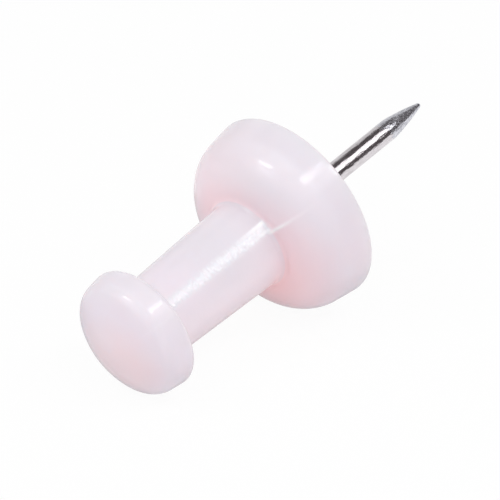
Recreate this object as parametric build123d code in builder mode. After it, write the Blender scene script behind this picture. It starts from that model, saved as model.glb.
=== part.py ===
from build123d import *
import os
from math import cos, radians, sin, tan

os.makedirs("parts", exist_ok=True)

# A push pin lying along X. The flange's seat face is at X = 0, the steel point is at +X and the
# cap of the plastic head is at -X. Sizes are in millimetres and angles in degrees.

# Flange: the thick domed foot of the head. Radii and heights are to the corners before rounding.
flange_rim_radius = 5.02
flange_shoulder_radius = 4.65
flange_shoulder_height = 2.6
flange_thickness = 3.3
flange_dome_radius = 6.0
rim_round = 0.15
shoulder_round = 2.15

# Stem: the tapered grip between flange and cap.
stem_foot_radius = 2.28
stem_neck_radius = 2.02
foot_round = 0.12
neck_round = 0.15

# Cap: the low dome that the thumb presses.
head_length = 13.1
cap_thickness = 2.5
cap_rim_radius = 3.18
cap_edge_radius = 3.08
cap_dome_height = 1.1
cap_rim_round = 0.35
cap_edge_round = 0.85

# Steel pin: a wire with a ground point, moulded into the head.
pin_radius = 0.535
exposed_length = 9.3
embedded_length = 8.0
point_half_angle = 12.0
point_tip_radius = 0.13
point_blend_radius = 4.0

# Rings rolled into the buried end of the pin. The plastic fills them and holds the pin.
ring_depth = 0.1
ring_count = 8


# Steel pin: a turned outline, from the buried end round to the tip.
ring_pitch = embedded_length / ring_count
crests = [(-i * ring_pitch, pin_radius) for i in range(ring_count + 1)]
roots = [(-(i + 0.5) * ring_pitch, pin_radius - ring_depth) for i in range(ring_count)]
rings = sorted(crests + roots)

slope = radians(point_half_angle)
tip_centre = exposed_length - point_tip_radius
tip_tangent = (tip_centre + point_tip_radius * sin(slope), point_tip_radius * cos(slope))
point_start = (tip_tangent[0] - (pin_radius - tip_tangent[1]) / tan(slope), pin_radius)

with BuildPart() as steel_pin:
    with BuildSketch() as pin_outline:
        with BuildLine():
            Polyline((-embedded_length, 0), *rings, point_start, tip_tangent)
            CenterArc((tip_centre, 0), point_tip_radius, 0, 90 - point_half_angle)
            Line((exposed_length, 0), (-embedded_length, 0))
        make_face()
        fillet(pin_outline.vertices().sort_by_distance(point_start)[0], point_blend_radius)
    revolve(axis=Axis.X)

steel_pin.part.label = "steel_pin"
export_step(steel_pin.part, "parts/steel_pin.step")


# Grip head: one turned moulding of flange, stem and cap, closed around the buried end of the pin.
shoulder = (-flange_shoulder_height, flange_shoulder_radius)
foot = (-flange_thickness, stem_foot_radius)
neck = (cap_thickness - head_length, stem_neck_radius)
cap_rim = (cap_thickness - head_length, cap_rim_radius)
cap_edge = (cap_dome_height - head_length, cap_edge_radius)
cap_top = (-head_length, 0)
rim = (0, flange_rim_radius)

rounded_corners = [
    (rim, rim_round),
    (shoulder, shoulder_round),
    (foot, foot_round),
    (neck, neck_round),
    (cap_rim, cap_rim_round),
    (cap_edge, cap_edge_round),
]

with BuildPart() as grip_head:
    with BuildSketch() as head_outline:
        with BuildLine():
            Polyline((0, 0), rim, shoulder)
            RadiusArc(shoulder, foot, -flange_dome_radius)
            Polyline(foot, neck, cap_rim, cap_edge)
            TangentArc(cap_top, cap_edge, tangent=(0, 1))
            Line(cap_top, (0, 0))
        make_face()
        for corner, corner_round in rounded_corners:
            fillet(head_outline.vertices().sort_by_distance(corner)[0], corner_round)
    revolve(axis=Axis.X)
    add(steel_pin.part, mode=Mode.SUBTRACT)

grip_head.part.label = "grip_head"
export_step(grip_head.part, "parts/grip_head.step")
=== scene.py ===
import math

import bpy
import numpy as np
from mathutils import Matrix, Vector


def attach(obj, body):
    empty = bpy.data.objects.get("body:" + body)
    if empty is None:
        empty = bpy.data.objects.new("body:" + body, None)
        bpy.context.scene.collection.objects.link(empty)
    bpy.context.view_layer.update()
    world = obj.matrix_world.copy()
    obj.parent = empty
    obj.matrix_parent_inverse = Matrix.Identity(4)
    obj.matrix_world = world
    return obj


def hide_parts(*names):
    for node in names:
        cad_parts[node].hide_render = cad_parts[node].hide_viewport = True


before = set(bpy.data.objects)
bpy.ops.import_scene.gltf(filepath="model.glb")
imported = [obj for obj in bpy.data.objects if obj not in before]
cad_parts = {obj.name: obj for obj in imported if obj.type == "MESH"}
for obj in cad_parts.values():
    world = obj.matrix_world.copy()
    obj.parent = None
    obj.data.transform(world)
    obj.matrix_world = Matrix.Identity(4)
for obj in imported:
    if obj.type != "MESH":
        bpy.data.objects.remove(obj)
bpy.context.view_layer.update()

mm = 0.001               # every size below is in millimetres, every angle in degrees
fullTurn = 2 * math.pi
scene = bpy.context.scene
scene.view_settings.view_transform = "Standard"
print("frame loaded with", ", ".join(sorted(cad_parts)))


# Shader maths

class Sock:
    # wraps one output socket, so that shader maths reads as Python maths
    def __init__(self, tree, socket=None):
        self.tree = tree
        self.socket = socket

    def node(self, kind, settings=None, inputs=None, out=0):
        # any node: its settings first, then a value or a link for each socket
        made = self.tree.nodes.new(kind)
        for name, value in (settings or {}).items():
            setattr(made, name, value)
        for name, value in (inputs or {}).items():
            if isinstance(value, Sock):
                self.tree.links.new(value.socket, made.inputs[name])
            else:
                made.inputs[name].default_value = value
        return Sock(self.tree, made.outputs[out] if made.outputs else None)

    def calc(self, operation, first, second):
        return self.node("ShaderNodeMath", {"operation": operation}, {0: first, 1: second})

    def __add__(self, other):
        return self.calc("ADD", self, other)

    def __radd__(self, other):
        return self.calc("ADD", other, self)

    def __sub__(self, other):
        return self.calc("SUBTRACT", self, other)

    def __rsub__(self, other):
        return self.calc("SUBTRACT", other, self)

    def __mul__(self, other):
        return self.calc("MULTIPLY", self, other)

    def __rmul__(self, other):
        return self.calc("MULTIPLY", other, self)

    def ramp(self, low, high):
        # 0 below low, 1 above high, an even slope between
        return self.node("ShaderNodeMapRange", {"clamp": True},
                         {"Value": self, "From Min": low, "From Max": high})

    def blend(self, first, second):
        # the colour first where this is 0, the colour second where it is 1
        return self.node("ShaderNodeMix", {"data_type": "RGBA"},
                         {0: self, 6: first, 7: second}, out=2)

    def attribute(self, name):
        # the number that the mesh holds under that name
        return self.node("ShaderNodeAttribute", {"attribute_name": name}, out="Fac")

    def bump(self, height, distance, **others):
        # a normal bent by a height from 0 to 1, which stands for that distance
        return self.node("ShaderNodeBump", None,
                         {"Height": height, "Strength": 1.0, "Distance": distance * mm, **others})


def newFinish(name):
    # an empty material, and the wrapper that adds its nodes
    finish = bpy.data.materials.new(name)
    finish.use_nodes = True
    finish.node_tree.nodes.clear()
    return finish, Sock(finish.node_tree)


def noiseAt(sock, perMillimetre, stretch=(1, 1, 1), detail=2.0, shift=(0, 0, 0)):
    # smooth noise on Object coordinates, with so many cells to the millimetre, times each axis's stretch
    place = sock.node("ShaderNodeTexCoord", out="Object")
    place = sock.node("ShaderNodeMapping", {"vector_type": "POINT"},
                      {"Vector": place, "Scale": tuple(s / mm for s in stretch), "Location": shift})
    return sock.node("ShaderNodeTexNoise", {"noise_dimensions": "3D"},
                     {"Vector": place, "Scale": perMillimetre, "Detail": detail})


# Surfaces of revolution

easedCount = 900
easedSteps = (1 - np.cos(np.linspace(0, math.pi, easedCount))) / 2      # from 0 to 1, denser near both ends


def straight(start, end):
    # points from start to end: the start plus the eased steps' share of the way to the end
    return np.array(start) + easedSteps[:, None] * (np.array(end) - np.array(start))


def bulge(start, end, radius):
    # the arc of that radius from start to end which bows to the right of the way: its centre lies to the
    # left, square to the middle of the chord
    start, end = np.array(start), np.array(end)
    chord = end - start
    half = np.hypot(*chord) / 2
    left = np.array([-chord[1], chord[0]]) / (2 * half)
    centre = (start + end) / 2 + left * math.sqrt(radius ** 2 - half ** 2)
    first = math.atan2(*(start - centre)[::-1])
    last = math.atan2(*(end - centre)[::-1])
    turn = (last - first + math.pi) % fullTurn - math.pi
    angle = first + turn * easedSteps
    return centre + radius * np.stack([np.cos(angle), np.sin(angle)], axis=1)


def alongOf(path):
    # the length of the path up to each of its points
    return np.concatenate([[0], np.cumsum(np.hypot(*np.diff(path, axis=0).T))])


def sideOf(path):
    # unit vectors to the left of the path
    slope = np.gradient(path, alongOf(path), axis=0)
    slope /= np.hypot(*slope.T)[:, None]
    return np.stack([-slope[:, 1], slope[:, 0]], axis=1)


def respaced(path, count):
    # the same path with count points, evenly spaced
    along = alongOf(path)
    steps = np.linspace(0, along[-1], count)
    return np.stack([np.interp(steps, along, path[:, 0]), np.interp(steps, along, path[:, 1])], axis=1)


def roundedOutline(pieces, rounds, pieceSteps, roundSteps):
    # joins the pieces end to end; a round's centre is where both neighbours, moved sideways by its
    # radius, cross, and its arc runs between the points of the neighbours that lie nearest to the centre
    pieces = [np.array(piece) for piece in pieces]
    arcs = []
    for k, radius in enumerate(rounds):
        first, second = pieces[k], pieces[k + 1]
        firstSide, secondSide = sideOf(first), sideOf(second)
        turn = firstSide[-1] @ np.array([[0, -1], [1, 0]]) @ secondSide[0]
        inside = radius * (-1 if turn > 0 else 1)
        gap = (first + inside * firstSide)[:, None] - (second + inside * secondSide)[None]
        i, j = np.unravel_index(np.argmin((gap ** 2).sum(axis=2)), gap.shape[:2])
        centre = (first[i] + inside * firstSide[i] + second[j] + inside * secondSide[j]) / 2
        begin = math.atan2(*(first[i] - centre)[::-1])
        sweep = math.atan2(*(second[j] - centre)[::-1]) - begin
        sweep = (sweep + math.pi) % fullTurn - math.pi
        angle = begin + sweep * np.linspace(0, 1, roundSteps[k])
        arcs.append(centre + radius * np.stack([np.cos(angle), np.sin(angle)], axis=1))
        pieces[k], pieces[k + 1] = first[:i + 1], second[j:]
    parts = []
    for k, piece in enumerate(pieces):
        parts.append(respaced(piece, pieceSteps[k])[1 if k else 0:-1 if k < len(arcs) else None])
        if k < len(arcs):
            parts.append(arcs[k])
    return np.concatenate(parts)


def turnedMesh(name, rows, angles):
    # rows holds (x, radius) at every row and angle, as an array of rows by angles by 2; the point there is
    # (x, radius cos angle, radius sin angle), and a pole on the axis closes each end
    x, radius = rows[..., 0], rows[..., 1]
    rings = np.stack([x, radius * np.cos(angles), radius * np.sin(angles)], axis=2)
    rowCount, angleCount = x.shape
    poles = np.array([[x[0].mean(), 0, 0], [x[-1].mean(), 0, 0]])
    points = np.concatenate([rings[1:-1].reshape(-1, 3), poles]) * mm
    ring = np.arange((rowCount - 2) * angleCount).reshape(rowCount - 2, angleCount)
    nextAngle = np.roll(ring, -1, axis=1)
    quads = np.stack([ring[:-1], ring[1:], nextAngle[1:], nextAngle[:-1]], axis=2).reshape(-1, 4)
    firstPole = np.full(angleCount, len(points) - 2)
    lastPole = np.full(angleCount, len(points) - 1)
    startFan = np.stack([firstPole, ring[0], nextAngle[0]], axis=1)
    endFan = np.stack([ring[-1], lastPole, nextAngle[-1]], axis=1)
    corners = np.concatenate([quads.ravel(), startFan.ravel(), endFan.ravel()])
    sizes = np.concatenate([np.full(len(quads), 4), np.full(2 * angleCount, 3)])
    mesh = bpy.data.meshes.new(name)
    mesh.vertices.add(len(points))
    mesh.vertices.foreach_set("co", points.astype(np.float32).ravel())
    mesh.loops.add(len(corners))
    mesh.loops.foreach_set("vertex_index", corners.astype(np.int32))
    mesh.polygons.add(len(sizes))
    mesh.polygons.foreach_set("loop_start", (np.cumsum(sizes) - sizes).astype(np.int32))
    mesh.polygons.foreach_set("use_smooth", np.ones(len(sizes), bool))
    mesh.update()
    mesh.validate()
    piece = bpy.data.objects.new(name, mesh)
    scene.collection.objects.link(piece)
    return piece


def writeValues(piece, name, values):
    # one number to each point of a turned piece, as an attribute that its finish reads; a pole takes the
    # mean of its row
    poles = (values[0].mean(), values[-1].mean())
    flat = np.concatenate([values[1:-1].ravel(), poles]).astype(np.float32)
    piece.data.attributes.new(name, "FLOAT", "POINT").data.foreach_set("value", flat)


def rising(values, pair):
    # 0 up to the first of the pair, 1 from the second on, an even slope between; the pair may also fall
    return np.clip((values - pair[0]) / (pair[1] - pair[0]), 0, 1)


def between(pair, share):
    # the first of the pair where share is 0, the second where it is 1
    return pair[0] + (pair[1] - pair[0]) * share


def readOff(values, points):
    # the strength at each value, from straight lines between points of (value, strength)
    return np.interp(values, *zip(*points))


def turnedTo(angles, angle):
    # 1 on the side at that angle, -1 on the opposite side: the cosine of the angle between
    return np.cos(angles - math.radians(angle))


# Steel pin

pinSizes = {
    "radius": 0.535,
    "exposedLength": 9.3,
    "buriedLength": 8.0,
    "ringDepth": 0.1,         # rings rolled into the buried end
    "ringCount": 8,
    "pointHalfAngle": 11.4,
    "pointBlend": 4.0,        # radius of the bend between shank and cone
    "pointBelly": 0.022,      # how far the cone bellies out half way along
    "tipRadius": 0.13,
    "raggedStart": 0.16,      # how far the edge of the ground part wanders along the wire,
    "raggedReach": 0.2,       # how far past the bend this is felt,
    "raggedTurns": (2, 3, 5, 9, 14, 22),      # and its waves in one turn
    "raggedSeed": 3,
    "slantStart": 0.26,       # how far that edge slants, with the side at slantAngle ground first
    "slantAngle": 60,
    "groundEdge": 0.06,       # the length over which the ground part sets in
    "grindDepth": 0.003,      # depth of the marks left by grinding the point
    "grindRest": 0.2,         # waves lower than this leave no mark
    # how many waves of each kind go round, and how fast each drifts to and fro along the cone
    "grindWaves": ((7, 1.3), (11, 2.1), (17, 3.4), (23, 5.5), (31, 8.9)),
    "grindDrift": 3,          # how far, in radians of the wave
    "grindSeed": 5,
    "grindEnd": 0.5,          # the marks fade out over this length before the tip
    "angleSteps": 160,
    "shankSteps": 40,
    "pointSteps": 150,
    "tipSteps": 12,
    "pointLead": 0.5,         # the finer steps start this far before the bend
}


def ringPath(clear):
    # the buried end: a zigzag of rings between the wire's radius and one ring depth below it
    count = pinSizes["ringCount"]
    x = np.linspace(-pinSizes["buriedLength"], 0, 2 * count + 1)
    radius = pinSizes["radius"] - pinSizes["ringDepth"] * (np.arange(2 * count + 1) % 2 == 0) + clear
    radius[-1] = pinSizes["radius"] + clear
    return np.stack([x, radius], axis=1)


def wander(angle):
    # a smooth closed line round the pin: sines of rising frequency and falling height
    draw = np.random.default_rng(pinSizes["raggedSeed"])
    return sum(np.sin(n * angle + draw.uniform(0, fullTurn)) / math.sqrt(n) for n in pinSizes["raggedTurns"])


def grindMarks(x, angle):
    # marks of the grinding wheel: waves that run along the cone and drift a little round it
    draw = np.random.default_rng(pinSizes["grindSeed"])
    total = np.zeros(np.broadcast(x, angle).shape)
    for around, along in pinSizes["grindWaves"]:
        phase, start = draw.uniform(0, fullTurn, 2)
        drift = pinSizes["grindDrift"] * np.sin(along * x + start)
        total += np.sin(around * angle + drift + phase) / math.sqrt(around)
    return total


def pinRows():
    # the radius falls from the wire's along a bend and a slightly bellied cone to a ball at the tip; the
    # place where the grinding starts wanders round the wire, and the marks only ever cut into it
    half = math.radians(pinSizes["pointHalfAngle"])
    wire, ball, bend = pinSizes["radius"], pinSizes["tipRadius"], pinSizes["pointBlend"]
    ballCentre = pinSizes["exposedLength"] - ball
    coneEnd = ballCentre + ball * math.sin(half)
    cornerX = ballCentre - (wire - ball / math.cos(half)) / math.tan(half)
    bendStart = cornerX - bend * math.tan(half / 2)
    bendEnd = bendStart + bend * math.sin(half)

    angles = np.linspace(0, fullTurn, pinSizes["angleSteps"], endpoint=False)
    pointStart = bendStart - pinSizes["pointLead"]
    shankX = np.linspace(0, pointStart, pinSizes["shankSteps"])
    pointX = np.linspace(pointStart, coneEnd, pinSizes["pointSteps"])[1:]
    x = np.concatenate([shankX, pointX])[:, None]

    ragged = pinSizes["raggedStart"] * rising(x, (bendEnd + pinSizes["raggedReach"], bendStart))
    shifted = x + ragged * wander(angles)
    onBend = np.clip(shifted - bendStart, 0, bend * math.sin(half))
    onCone = np.clip(shifted - bendEnd, 0, None)
    radius = wire - bend + np.sqrt(bend ** 2 - onBend ** 2) - onCone * math.tan(half)
    radius += pinSizes["pointBelly"] * np.sin(math.pi * rising(x, (bendEnd, coneEnd)))
    slant = pinSizes["slantStart"] * (1 + turnedTo(angles, pinSizes["slantAngle"]))
    ground = rising(shifted + slant, (bendStart, bendStart + pinSizes["groundEdge"]))
    cut = np.clip(grindMarks(x, angles) - pinSizes["grindRest"], 0, None)
    radius -= pinSizes["grindDepth"] * cut * ground * rising(x, (coneEnd, coneEnd - pinSizes["grindEnd"]))

    tipTurn = np.linspace(half, math.pi / 2, pinSizes["tipSteps"])[1:]
    tip = np.stack([ballCentre + ball * np.sin(tipTurn), ball * np.cos(tipTurn)], axis=1)
    buried = np.concatenate([[[-pinSizes["buriedLength"], 0]], ringPath(0)[:-1]])
    around = np.ones((1, len(angles), 1))
    shank = np.stack([x * around[..., 0], radius], axis=2)
    rows = np.concatenate([buried[:, None] * around, shank, tip[:, None] * around])
    ground = np.pad(ground, ((len(buried), 0), (0, 0)))
    ground = np.pad(ground, ((0, len(tip)), (0, 0)), constant_values=1)
    return rows, angles, ground


pinShape, pinAngles, pinGround = pinRows()
pin = turnedMesh("pinWire", pinShape, pinAngles)
writeValues(pin, "ground", pinGround)
print("pin made with", len(pin.data.polygons), "faces")


# Plastic head

headSizes = {
    "flangeRimRadius": 5.012,
    "flangeShoulder": (-2.6, 4.63),
    "flangeWallRadius": 70.0,     # the flange's wall bellies a little
    "flangeThickness": 3.3,
    "flangeDomeRadius": 6.0,
    "stemFootRadius": 2.28,
    "stemNeckRadius": 2.02,
    "capRim": (-10.6, 3.235),
    "capEdge": (-12.01, 3.055),
    "headLength": 13.1,
    "boreClear": 0.004,           # room between pin and bore
    # radius and steps of each round, and steps of each piece, from the bore's mouth to the end of the cap
    "rounds": (0.03, 0.15, 2.15, 0.4, 0.15, 0.3, 0.95),
    "roundSteps": (4, 7, 30, 12, 8, 12, 24),
    "pieceSteps": (24, 12, 8, 12, 48, 8, 6, 18),
    "angleSteps": 300,
    "seamCrowding": 0.85,         # how far the angle steps crowd towards the two seams
    "seamAngle": 138.6,           # where the two halves of the mould met, from +Y towards +Z
    "seamHeight": 0.05,
    "seamWidth": 0.09,
    # how strong the seam is at each place along the axis, and the radii between which it sets in
    "seamAlong": ((-13.1, 0), (-12, 0.08), (-11, 0.08), (-10.4, 0.12), (-3.6, 0.12), (-3.4, 1), (-3.22, 1),
                  (-3.12, 0.8), (-3, 0.5), (-2.86, 0.3), (-2.6, 0.15), (-2.3, 0.08), (-1.8, 0.03), (0, 0)),
    "seamRadii": (0.6, 1.6),
}


def headOutline():
    # from the buried end of the pin's bore, out over the seat face, round flange, stem and cap to the axis
    bore = ringPath(headSizes["boreClear"])
    mouth = (0, bore[-1, 1])
    rim = (0, headSizes["flangeRimRadius"])
    foot = (-headSizes["flangeThickness"], headSizes["stemFootRadius"])
    neck = (headSizes["capRim"][0], headSizes["stemNeckRadius"])
    edge = headSizes["capEdge"]
    rise = headSizes["headLength"] + edge[0]
    domeRadius = (edge[1] ** 2 + rise ** 2) / (2 * rise)
    pieces = [
        straight(bore[-2], mouth),
        straight(mouth, rim),
        bulge(rim, headSizes["flangeShoulder"], headSizes["flangeWallRadius"]),
        bulge(headSizes["flangeShoulder"], foot, headSizes["flangeDomeRadius"]),
        straight(foot, neck),
        straight(neck, headSizes["capRim"]),
        straight(headSizes["capRim"], edge),
        bulge(edge, (-headSizes["headLength"], 0), domeRadius),
    ]
    outer = roundedOutline(pieces, headSizes["rounds"], headSizes["pieceSteps"], headSizes["roundSteps"])
    return np.concatenate([[[bore[0, 0], 0]], bore[:-2], outer])


headTones = {
    # Where the plastic's colour changes, most of it painted light and shade, with angles from +Y towards +Z.
    # A pair of places along the axis, of radii, of distances from the stem's foot or of cosines runs from no
    # change to the full change, unless its note says what the two are for. A list of points gives the
    # strength at each place or angle.
    "stemRadii": (2.5, 2.3),              # the stem is what lies inside these radii,
    "stemEnd": (-11.5, -11.0),            # short of the end of the cap
    "stemShare": 0.2,                     # how much of the flange's painted warm light and shade the stem shows,
    "stemEdge": 0.1,                      # up to this distance outside the foot's radius
    "underAngle": 240,                    # the shaded underside
    "cornerReach": (1.36, 3.4),           # how far from the foot the painted warm light of the corner reaches, on top and underneath,
    "cornerStrength": (0.3, 1.0),         # and how much, on top and underneath
    "underShadeReach": (3.12, 0.52),            # painted shade on the underside of the flange
    "capLightAlong": (-12.4, -13.0),          # painted warm light shining through the end of the cap,
    "capLightSlant": 0.54,                    # this much sooner along the axis underneath than on top
    "throughLightReach": (2.2, 0.0),              # painted light that comes through the slim stem: on the flange next to it,
    "throughLightStrength": (0.4, 1.6),           # and on the stem itself, on top and underneath
    "glowAngle": 250,                     # light that shines through into the shade round the foot,
    "glowTurn": (-0.1, 1.1),
    "glowReach": (2.3, 0.0),
    "stemGlow": 0.3,                      # less along the stem,
    "stemGlowTurn": (-0.3, 0.7),
    "leftGlow": 0.7,                      # and some on the side of the flange at leftAngle
    "leftAngle": 45,
    "leftReach": (4.08, 0.68),
    "upperAngle": 105,                    # painted light and shade on the side that faces up
    "upperTurn": (0.375, 1.0),
    "upperAlong": ((-12.6, 0), (-11.8, 0.8), (-10.7, 0.8), (-10.4, 0), (-9, 0), (-6.5, 1), (0, 1)),
    "neckAlong": (-9.2, -10.0),           # the end of the stem at the cap
    "rimShadeReach": 0.25,                     # how far from the cap's rim its painted shade reaches
    # the strip of stem beside each seam that was trimmed after moulding, and that carries the painted
    # highlight along the stem, by the angle from the seam
    "trimAcross": ((-21, 0), (-12, 1), (-3.5, 1), (1, 0)),
    # its end at the foot, painted whiter along both sides as a highlight
    "endAcross": ((-19, 0), (-16.5, 1), (-14.5, 0.9), (-12, 0.2),
                  (-7, 0.15), (-5, 0.5), (-3.5, 0.5), (-1.5, 0)),
    "endAlong": ((-5.4, 0), (-4.2, 0.6), (-3.8, 1), (-3.42, 1), (-3.36, 0)),
    "endRadii": (2.6, 2.5),
}


def toneMasks(x, radius, angles, fromSeam):
    # the strength of each tone, from 0 to 1: mostly products of even slopes along the axis, away from the
    # stem's foot, round the part and away from the seam
    tones = headTones
    footRadius = headSizes["stemFootRadius"]
    fromFoot = np.hypot(x + headSizes["flangeThickness"], radius - footRadius)
    fromRim = np.hypot(x - headSizes["capRim"][0], radius - headSizes["capRim"][1])
    stem = rising(radius, tones["stemRadii"]) * rising(x, tones["stemEnd"])
    onFlange = np.where(radius > footRadius + tones["stemEdge"], 1, tones["stemShare"])
    under = (1 + turnedTo(angles, tones["underAngle"])) / 2
    shade = turnedTo(angles, tones["glowAngle"])
    left = np.clip(turnedTo(angles, tones["leftAngle"]), 0, 1) ** 2
    paintedTopLight = rising(turnedTo(angles, tones["upperAngle"]), tones["upperTurn"])
    corner = rising(fromFoot, (between(tones["cornerReach"], under), 0))
    throughLightStem = stem * np.clip(between(tones["throughLightStrength"], under), 0, 1)
    trimEndAndHighlight = readOff(x, tones["endAlong"]) * readOff(fromSeam, tones["endAcross"])
    glow = rising(fromFoot, tones["glowReach"]) * rising(shade, tones["glowTurn"])
    glow = np.maximum(glow, tones["stemGlow"] * stem * rising(shade, tones["stemGlowTurn"]))
    glow = np.maximum(glow, tones["leftGlow"] * left * onFlange * rising(fromFoot, tones["leftReach"]))
    return {
        "paintedThroughLight": np.maximum(throughLightStem, rising(fromFoot, tones["throughLightReach"])),
        "paintedTopLight": readOff(x, tones["upperAlong"]) * paintedTopLight,
        "paintedCapLight": rising(x - tones["capLightSlant"] * (under - 0.5), tones["capLightAlong"]),
        "paintedUnderShade": onFlange * rising(fromFoot, tones["underShadeReach"]) * under,
        "corner": onFlange * corner * between(tones["cornerStrength"], under),
        "neck": stem * rising(x, tones["neckAlong"]),
        "edge": np.exp(-(fromRim / tones["rimShadeReach"]) ** 2),
        "trimAndHighlight": stem * readOff(fromSeam, tones["trimAcross"]),
        "trimEndAndHighlight": trimEndAndHighlight * rising(radius, tones["endRadii"]),
        "glow": glow,
    }


def headRows():
    # each outline point is pushed out along the outline's normal by the seam's ridge, a bell curve of the
    # distance round the part from the nearest of the two seams
    outline = headOutline()
    x, radius = outline[:, :1], outline[:, 1:]
    rows = np.arange(len(outline))[:, None]
    outside = rows >= np.argmax(radius)                # not in the bore or on the seat face
    even = np.linspace(0, fullTurn, headSizes["angleSteps"], endpoint=False)
    turned = even - headSizes["seamCrowding"] / 2 * np.sin(2 * even)
    fromSeam = (turned + math.pi / 2) % math.pi - math.pi / 2
    angles = turned + math.radians(headSizes["seamAngle"])
    seamAndHighlight = readOff(x, headSizes["seamAlong"]) * rising(radius, headSizes["seamRadii"]) * outside
    seamAndHighlight = seamAndHighlight * np.exp(-(radius * fromSeam / headSizes["seamWidth"]) ** 2)
    shape = outline[:, None] - headSizes["seamHeight"] * seamAndHighlight[..., None] * sideOf(outline)[:, None]
    masks = {"seamAndHighlight": seamAndHighlight, **toneMasks(x, radius, angles, np.degrees(fromSeam))}
    return shape, angles, {name: np.broadcast_to(mask * outside, seamAndHighlight.shape) for name, mask in masks.items()}


headShape, headAngles, headMasks = headRows()
head = turnedMesh("gripHead", headShape, headAngles)
for maskName, maskValues in headMasks.items():
    writeValues(head, maskName, maskValues)
print("head made with", len(head.data.polygons), "faces")


# Finishes

plasticLook = {
    "milk": (0.845, 0.78, 0.855, 1),       # where the plastic is cloudiest
    "blush": (0.85, 0.76, 0.825, 1),       # where it is a little clearer and pinker
    "paintedThroughLight": (0.88, 0.80, 0.865, 1),        # painted light: stem and nearby flange are painted lighter, for light through the slim stem
    "paintedTopLight": (0.808, 0.768, 0.825, 1),     # painted light and shade: the side that faces up is painted less pink and a little darker
    "paintedCapLight": (0.893, 0.744, 0.788, 1),      # painted light: the end of the cap is painted warmer, for light that shines through it
    "paintedUnderShade": (0.845, 0.70, 0.765, 1),       # painted shade: the underside of the flange is painted darker and warmer
    "corner": (1.0, 0.735, 0.77, 1),       # warm light that gathers where stem and flange meet
    "neck": (0.90, 0.825, 0.885, 1),       # light that gathers where stem and cap meet
    "edge": (0.835, 0.76, 0.835, 1),       # painted shade: the round of the cap's rim is painted a little darker
    "trimAndHighlight": (0.86, 0.85, 0.90, 1),         # the trimmed strips are whiter, and painted whiter still as the highlight along the stem
    # painted highlight: the strip's end at the foot is painted near white and glows a little
    "trimEndAndHighlight": (0.97, 0.955, 1.0, 1),
    "footHighlightGlow": (0.5, 0.5, 0.55, 1),
    "seamAndHighlight": (1.0, 0.97, 1.0, 1),           # the mould seam's ridge is painted paler: a painted highlight
    "seamHighlightShare": 0.78,
    "glow": (1.0, 0.34, 0.27, 1),          # light that shines through in the shade
    "glowLevel": 0.155,
    "scatter": (1.4, 1.25, 1.2),           # how far red, green and blue travel inside, in millimetres
    "cloudiness": 0.7,                     # share of the light that travels inside
    "cloudCells": 0.3,                     # clouds of milk and blush
    "cloudRange": (0.35, 0.65),
    "rippleCells": 8.0,                    # ripples in the skin, longer across the stem than along it,
    "rippleStretch": (1, 0.6, 0.6),
    "rippleHeight": 0.026,
    "rippleRest": 0.06,                    # much lower away from the trimmed strips,
    "rippleLoss": 0.7,                     # and lower at their ends
    "frostAndSparkle": (0.45, 1.35),                 # how white the strips are painted, low and high on the ripples: a painted sparkle
    "frostAndSparkleRange": (0.3, 0.7),
    "roughness": 0.12,
    "glossCells": 1.1,                     # patches that are a little less glossy
    "glossStretch": (0.5, 1, 1),
    "glossShift": (4, 7, 2),
    "glossLoss": 0.065,
    "trimLoss": 0.04,
    "refraction": 1.5,
}


def plasticFinish():
    look = plasticLook
    finish, sock = newFinish("milkyPinkPlastic")
    mask = {name: sock.attribute(name) for name in headMasks}
    cloud = noiseAt(sock, look["cloudCells"]).ramp(*look["cloudRange"])
    ripple = noiseAt(sock, look["rippleCells"], look["rippleStretch"], detail=0)
    gloss = noiseAt(sock, look["glossCells"], look["glossStretch"], detail=3, shift=look["glossShift"])

    colour = cloud.blend(look["blush"], look["milk"])
    # painted light and shade, each over the last: through-light, top side, cap end, underside, corner, neck,
    # cap rim
    for name in ("paintedThroughLight", "paintedTopLight", "paintedCapLight", "paintedUnderShade", "corner", "neck", "edge"):
        colour = mask[name].blend(colour, look[name])
    # painted highlight: the strips are whitened, most on the ripples' crests
    frostedAndSparkling = mask["trimAndHighlight"] * between(look["frostAndSparkle"], ripple.ramp(*look["frostAndSparkleRange"]))
    colour = frostedAndSparkling.blend(colour, look["trimAndHighlight"])
    colour = mask["trimEndAndHighlight"].blend(colour, look["trimEndAndHighlight"])
    colour = (look["seamHighlightShare"] * mask["seamAndHighlight"]).blend(colour, look["seamAndHighlight"])
    glow = mask["glow"].blend((0, 0, 0, 1), look["glow"])
    waves = ripple * between((look["rippleRest"], 1), mask["trimAndHighlight"])
    waves = waves * (1 - look["rippleLoss"] * mask["trimEndAndHighlight"])

    shader = sock.node("ShaderNodeBsdfPrincipled", {"subsurface_method": "RANDOM_WALK"}, {
        "Base Color": colour,
        "Roughness": look["roughness"] + look["glossLoss"] * gloss + look["trimLoss"] * mask["trimAndHighlight"],
        "IOR": look["refraction"],
        "Normal": sock.bump(waves, look["rippleHeight"]),
        "Subsurface Weight": look["cloudiness"],
        "Subsurface Radius": look["scatter"],
        "Subsurface Scale": mm,
        # painted light: the glow in the shade and the glowing end of the strip are emission
        "Emission Color": mask["trimEndAndHighlight"].blend(glow, look["footHighlightGlow"]),
        "Emission Strength": look["glowLevel"],
    })
    sock.node("ShaderNodeOutputMaterial", None, {"Surface": shader})
    return finish


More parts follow.
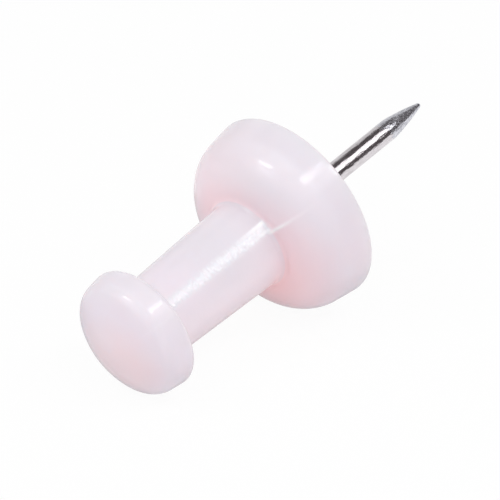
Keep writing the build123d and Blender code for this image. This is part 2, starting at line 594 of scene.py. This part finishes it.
steelLook = {
    "bright": (0.84, 0.80, 0.83, 1),
    "dull": (0.66, 0.62, 0.64, 1),
    "drawCells": 1.0,          # lines left by drawing the wire
    "drawStretch": (2.5, 9, 9),
    "drawRange": (0.3, 0.7),
    "drawHeight": 0.015,
    "groundPale": (0.86, 0.86, 0.92, 1),
    "groundDark": (0.50, 0.50, 0.55, 1),
    "grainCells": 11,          # grain of the ground point
    "grainStretch": (0.6, 1, 1),
    "grainRange": (0.35, 0.65),
    "grainHeight": 0.024,
    "roughness": 0.13,
    "drawLoss": 0.08,          # how much less glossy the drawn lines
    "groundLoss": 0.07,        # and the ground point are
}


def steelFinish():
    look = steelLook
    finish, sock = newFinish("platedSteel")
    ground = sock.attribute("ground")
    drawn = noiseAt(sock, look["drawCells"], look["drawStretch"])
    grain = noiseAt(sock, look["grainCells"], look["grainStretch"], detail=3)
    smooth = drawn.ramp(*look["drawRange"]).blend(look["dull"], look["bright"])
    rough = grain.ramp(*look["grainRange"]).blend(look["groundDark"], look["groundPale"])
    lines = sock.bump(drawn * (1 - ground), look["drawHeight"])
    shader = sock.node("ShaderNodeBsdfPrincipled", None, {
        "Base Color": ground.blend(smooth, rough),
        "Metallic": 1.0,
        "Roughness": look["roughness"] + look["drawLoss"] * drawn + look["groundLoss"] * ground,
        "Normal": sock.bump(grain * ground, look["grainHeight"], Normal=lines),
    })
    sock.node("ShaderNodeOutputMaterial", None, {"Surface": shader})
    return finish


head.data.materials.append(plasticFinish())
pin.data.materials.append(steelFinish())
print("finishes made")

for piece, node, slot in ((head, "grip_head", "head_plastic"), (pin, "steel_pin", "pin_steel")):
    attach(piece, "root")
    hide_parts(node)


# Stage: floor, lamps, cards and camera

stageLook = {
    # the part lies on the rims of flange and cap, so the floor falls towards the point
    "floorTilt": 9.67,
    "floorSize": 800,
    "floorGap": 0.002,          # room between part and floor
    "floorPaint": (0.9, 0.9, 0.9, 1),
    "floorWhite": 0.95,         # how much of the floor's white is its own, the rest shows the shadow
    "shadowReach": (30, 90),    # the shadow fades out over these distances from the part
    "floorGloss": 0.45,         # how bright reflections see the white of the floor
    "wallGloss": 0.72,          # and that of the walls
    "fill": 0.53,               # how brightly the walls light the part
    "white": (1, 1, 1, 1),
}


def lightMask(sock, glossShare):
    # 1 for camera and transmission rays, which see the white of the studio, less for glossy rays, else 0
    seen = sock.node("ShaderNodeLightPath", out="Is Camera Ray")
    path = seen.socket.node
    glossy = Sock(sock.tree, path.outputs["Is Glossy Ray"])
    through = Sock(sock.tree, path.outputs["Is Transmission Ray"])
    return seen.calc("MAXIMUM", seen.calc("MAXIMUM", seen, through), glossy * glossShare)


def floorFinish():
    finish, sock = newFinish("paleFloor")
    mask = lightMask(sock, stageLook["floorGloss"])
    paint = sock.node("ShaderNodeBsdfDiffuse", None, {"Color": stageLook["floorPaint"]})
    glow = sock.node("ShaderNodeEmission", None, {"Color": stageLook["white"], "Strength": 1.0})
    place = sock.node("ShaderNodeTexCoord", out="Object")
    far = sock.node("ShaderNodeVectorMath", {"operation": "LENGTH"}, {0: place}, out="Value")
    far = far.ramp(*[reach * mm for reach in stageLook["shadowReach"]])
    white = between((stageLook["floorWhite"], 1), far)
    both = sock.node("ShaderNodeMixShader", None, {0: mask * white, 1: paint, 2: glow})
    sock.node("ShaderNodeOutputMaterial", None, {"Surface": both})
    return finish


def cardFinish(name, colour):
    finish, sock = newFinish(name)
    glow = sock.node("ShaderNodeEmission", None, {"Color": colour, "Strength": 1.0})
    sock.node("ShaderNodeOutputMaterial", None, {"Surface": glow})
    return finish


def showToReflections(card):
    # hides a card from the camera and from all light but reflections
    card.visible_camera = False
    card.visible_diffuse = False
    card.visible_transmission = False
    card.visible_volume_scatter = False
    card.visible_shadow = False


def plane(name, place, size, finish):
    # a flat sheet: each corner is half a size along and half a size across from the middle of its place
    half = np.array([[-1, -1], [1, -1], [1, 1], [-1, 1]]) / 2 * np.array(size) * mm
    turn = np.array(place.to_3x3())
    points = np.array(place.translation) + half @ turn[:, :2].T
    mesh = bpy.data.meshes.new(name)
    mesh.from_pydata(points.tolist(), [], [(0, 1, 2, 3)])
    mesh.materials.append(finish)
    sheet = bpy.data.objects.new(name, mesh)
    scene.collection.objects.link(sheet)
    return sheet


tilt = math.radians(stageLook["floorTilt"])
floorNormal = Vector((math.sin(tilt), 0, math.cos(tilt)))
headPoints = np.empty(len(head.data.vertices) * 3, np.float32)
head.data.vertices.foreach_get("co", headPoints)
floorHeight = float((headPoints.reshape(-1, 3) @ np.array(floorNormal)).min())
floorPlace = Matrix.Rotation(tilt, 4, "Y")
floorPlace.translation = floorNormal * (floorHeight - stageLook["floorGap"] * mm)
plane("floor", floorPlace, (stageLook["floorSize"], stageLook["floorSize"]), floorFinish())

lamps = {
    # direction and distance from the part, size along and across the part's axis, brightness
    "keyLamp": ((0.078, -0.455, 0.888), 150, (66.5, 22), 5.4),      # shoulder of the flange, wall of the cap
    "hazeLamp": ((0.2, -0.63, 0.75), 152, (50, 34), 1.1),           # soft haze round those
    "stemLamp": ((0.41, -0.555, 0.723), 150, (22, 30), 8.0),        # bright strip on the stem
    "pinLamp": ((0.58, -0.415, 0.70), 155, (30, 100), 1.6),         # bright line on the steel
    "sideLamp": ((-0.43, 0.31, 0.85), 150, (16, 46), 7.2),          # dome of the flange, edge of the cap
    "endLamp": ((-0.64, 0.31, 0.70), 150, (36, 50), 1.0),           # soft haze beside those
    "leftLamp": ((-0.67, 0.31, 0.675), 200, (150, 150), 0.34),      # end of the cap
    "topLamp": ((-0.25, -0.15, 0.95), 220, (300, 300), 0.47),       # soft light from above
}


def facing(towards, distance):
    # the place at that distance from the part, turned to look at it, its first side along the part's axis
    back = Vector(towards).normalized()
    across = (Vector((1, 0, 0)) - back * back.x).normalized()
    turn = Matrix((across, back.cross(across), back)).transposed()
    return Matrix.Translation(back * distance * mm) @ turn.to_4x4()


def addLamp(name, towards, distance, size, level):
    # an area lamp that looks at the part; its power is its brightness times its area times pi
    light = bpy.data.lights.new(name, "AREA")
    light.shape = "RECTANGLE"
    light.size, light.size_y = size[0] * mm, size[1] * mm
    light.energy = level * math.pi * light.size * light.size_y
    lamp = bpy.data.objects.new(name, light)
    lamp.matrix_world = facing(towards, distance)
    lamp.visible_camera = False
    scene.collection.objects.link(lamp)


for lampName, lampValues in lamps.items():
    addLamp(lampName, *lampValues)

flag = {
    # a dark curved card behind the key lamp, seen only by reflections, for the dark lines on the steel
    "around": (38, 190),       # from +Y towards +Z
    "fromAxis": (12, 76),      # from +X
    "skew": (1.2, 0.0),        # how much further round its two sides lie for each degree nearer to the axis
    "skewFrom": 58.8,
    "distance": 175,
    "colour": (0.095, 0.085, 0.088, 1),
    "steps": (18, 40),
}


def addFlag():
    # part of a ball: the point at (polar, around) is
    # distance times (cos polar, sin polar cos around, sin polar sin around)
    polar = np.linspace(*flag["fromAxis"], flag["steps"][0])
    nearer = np.clip(flag["skewFrom"] - polar, 0, None)
    sides = [side + skew * nearer for side, skew in zip(flag["around"], flag["skew"])]
    around = np.radians(np.linspace(*sides, flag["steps"][1], axis=1))
    polar = np.radians(polar)[:, None]
    points = np.stack([np.cos(polar) + 0 * around, np.sin(polar) * np.cos(around),
                       np.sin(polar) * np.sin(around)], axis=2) * flag["distance"] * mm
    index = np.arange(points.shape[0] * points.shape[1]).reshape(points.shape[:2])
    faces = np.stack([index[:-1, :-1], index[1:, :-1], index[1:, 1:], index[:-1, 1:]], axis=2).reshape(-1, 4)
    mesh = bpy.data.meshes.new("darkFlag")
    mesh.from_pydata(points.reshape(-1, 3).tolist(), [], faces.tolist())
    mesh.materials.append(cardFinish("flagPaint", flag["colour"]))
    card = bpy.data.objects.new("darkFlag", mesh)
    scene.collection.objects.link(card)
    showToReflections(card)


addFlag()

shadowCard = {
    # a grey card under the head, seen only by reflections: a painted shadow for the head's shadow on the
    # floor, that keeps the plastic's edges from shining white
    "middle": (-5, 3),
    "size": (20, 17),
    "lift": 0.001,             # above the floor
    "colour": (0.60, 0.58, 0.59, 1),
}
cardShift = Vector((*shadowCard["middle"], shadowCard["lift"])) * mm
cardPlace = floorPlace @ Matrix.Translation(cardShift)
shadowCardPaint = cardFinish("shadowCardPaint", shadowCard["colour"])
showToReflections(plane("shadowCard", cardPlace, shadowCard["size"], shadowCardPaint))

world = bpy.data.worlds.new("studio")
scene.world = world
world.use_nodes = True
world.node_tree.nodes.clear()
studio = Sock(world.node_tree)
wallLight = studio.calc("MAXIMUM", lightMask(studio, stageLook["wallGloss"]), stageLook["fill"])
background = studio.node("ShaderNodeBackground", None, {"Color": stageLook["white"], "Strength": wallLight})
studio.node("ShaderNodeOutputWorld", None, {"Surface": background})

photoCamera = {
    "lens": 373.3,
    "sensor": 36,
    "place": (-132.17, -140.35, 159.19),
    "target": (-2.586, 0.798, -1.384),
    "seen": (10, 2000),        # nearest and farthest distance that it sees
}
cameraData = bpy.data.cameras.new("photoCamera")
cameraData.lens = photoCamera["lens"]
cameraData.sensor_width = photoCamera["sensor"]
cameraData.clip_start, cameraData.clip_end = [distance * mm for distance in photoCamera["seen"]]
camera = bpy.data.objects.new("photoCamera", cameraData)
scene.collection.objects.link(camera)
place, target = Vector(photoCamera["place"]), Vector(photoCamera["target"])
back = (place - target).normalized()
right = floorNormal.cross(back).normalized()      # no roll against the floor
cameraTurn = Matrix((right, back.cross(right), back)).transposed()
camera.matrix_world = Matrix.Translation(place * mm) @ cameraTurn.to_4x4()
scene.camera = camera
print("stage made")
